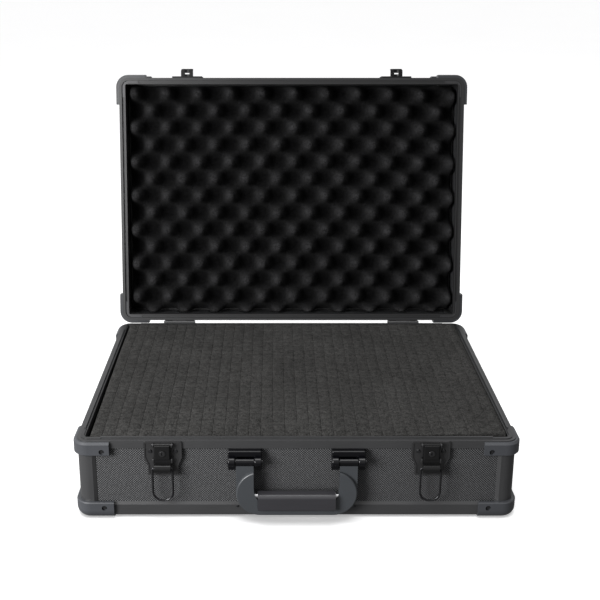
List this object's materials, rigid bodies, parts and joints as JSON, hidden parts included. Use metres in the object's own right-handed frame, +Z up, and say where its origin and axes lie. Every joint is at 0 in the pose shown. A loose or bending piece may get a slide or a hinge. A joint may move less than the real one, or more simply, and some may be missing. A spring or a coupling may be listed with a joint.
{
  "type": "foam-lined framed carrying case",
  "caption": "Black aluminium-framed carrying case, open, with scored foam in the base, egg-crate foam in the lid, draw latches with locks, a swing handle and hinges.",
  "frame": {"origin": "on the floor under the centre of the base's footprint, at the level the feet stand on", "axes": "+X to the right as seen from the latches, +Y from the latches towards the hinges, +Z up from the floor"},
  "size_m": [0.46, 0.4608, 0.4196],
  "materials": {
    "frame_aluminium": "satin",
    "panel": "satin",
    "corner_plastic": "satin",
    "joiner": "satin",
    "rivet": "satin",
    "latch_steel": "gloss",
    "bracket": "gloss",
    "wire": "gloss",
    "lock": "gloss",
    "pin_steel": "polished",
    "handle_frame": "satin",
    "grip": "satin",
    "base_foam": "matte",
    "lid_foam": "matte",
    "foam_pad": "matte"
  },
  "bodies": {
    "base": {"base_back_panel": "panel", "base_bottom_panel": "panel", "base_corner_posts": "frame_aluminium", "base_edge_back": "frame_aluminium", "base_edge_front": "frame_aluminium", "base_edge_left": "frame_aluminium", "base_edge_right": "frame_aluminium", "base_foam": "base_foam", "base_foam_pad": "foam_pad", "base_foot_corners": "corner_plastic", "base_front_panel": "panel", "base_left_panel": "panel", "base_right_panel": "panel", "base_rim_back": "frame_aluminium", "base_rim_corners": "corner_plastic", "base_rim_front": "frame_aluminium", "base_rim_joiners": "joiner", "base_rim_left": "frame_aluminium", "base_rim_right": "frame_aluminium", "base_rivets": "rivet", "handle_bracket_left": "bracket", "handle_bracket_right": "bracket", "handle_pins": "pin_steel", "hinge_base_leaves": "latch_steel", "hinge_pins": "pin_steel", "latch_pins": "pin_steel", "latch_plate_left": "latch_steel", "latch_plate_right": "latch_steel"},
    "lid": {"hinge_lid_leaves": "latch_steel", "latch_catch_left": "latch_steel", "latch_catch_right": "latch_steel", "lid_back_panel": "panel", "lid_cap_corners": "corner_plastic", "lid_corner_posts": "frame_aluminium", "lid_edge_back": "frame_aluminium", "lid_edge_front": "frame_aluminium", "lid_edge_left": "frame_aluminium", "lid_edge_right": "frame_aluminium", "lid_foam": "lid_foam", "lid_front_panel": "panel", "lid_left_panel": "panel", "lid_right_panel": "panel", "lid_rim_back": "frame_aluminium", "lid_rim_corners": "corner_plastic", "lid_rim_front": "frame_aluminium", "lid_rim_joiners": "joiner", "lid_rim_left": "frame_aluminium", "lid_rim_right": "frame_aluminium", "lid_rivets": "rivet", "lid_top_panel": "panel"},
    "handle": {"handle_barrels": "bracket", "handle_frame": "handle_frame", "handle_grip": "grip", "handle_rod": "pin_steel"},
    "lever_left": {"latch_lever_left": "latch_steel"},
    "lock_left": {"lock_plug_left": "lock"},
    "loop_left": {"latch_loop_left": "wire"},
    "lever_right": {"latch_lever_right": "latch_steel"},
    "lock_right": {"lock_plug_right": "lock"},
    "loop_right": {"latch_loop_right": "wire"}
  },
  "joints": [
    {"name": "lid_hinge", "type": "hinge", "parent": "base", "child": "lid", "pos_m": [0, 0.1642, 0.0885], "axis": [1, 0, 0], "range_deg": [0, 100]},
    {"name": "handle_swing", "type": "hinge", "parent": "base", "child": "handle", "pos_m": [0, -0.169, 0.0695], "axis": [-1, 0, 0], "range_deg": [0, 95]},
    {"name": "latch_lever_left", "type": "hinge", "parent": "base", "child": "lever_left", "pos_m": [-0.137, -0.165, 0.0862], "axis": [1, 0, 0], "range_deg": [-100, 0]},
    {"name": "lock_turn_left", "type": "hinge", "parent": "lever_left", "child": "lock_left", "pos_m": [-0.137, -0.168, 0.0785], "axis": [0, -1, 0], "range_deg": [0, 90]},
    {"name": "latch_loop_left", "type": "hinge", "parent": "lever_left", "child": "loop_left", "pos_m": [-0.137, -0.169, 0.0621], "axis": [-1, 0, 0], "range_deg": [0, 180]},
    {"name": "latch_lever_right", "type": "hinge", "parent": "base", "child": "lever_right", "pos_m": [0.137, -0.165, 0.0862], "axis": [1, 0, 0], "range_deg": [-100, 0]},
    {"name": "lock_turn_right", "type": "hinge", "parent": "lever_right", "child": "lock_right", "pos_m": [0.137, -0.168, 0.0785], "axis": [0, -1, 0], "range_deg": [0, 90]},
    {"name": "latch_loop_right", "type": "hinge", "parent": "lever_right", "child": "loop_right", "pos_m": [0.137, -0.169, 0.0621], "axis": [-1, 0, 0], "range_deg": [0, 180]}
  ]
}
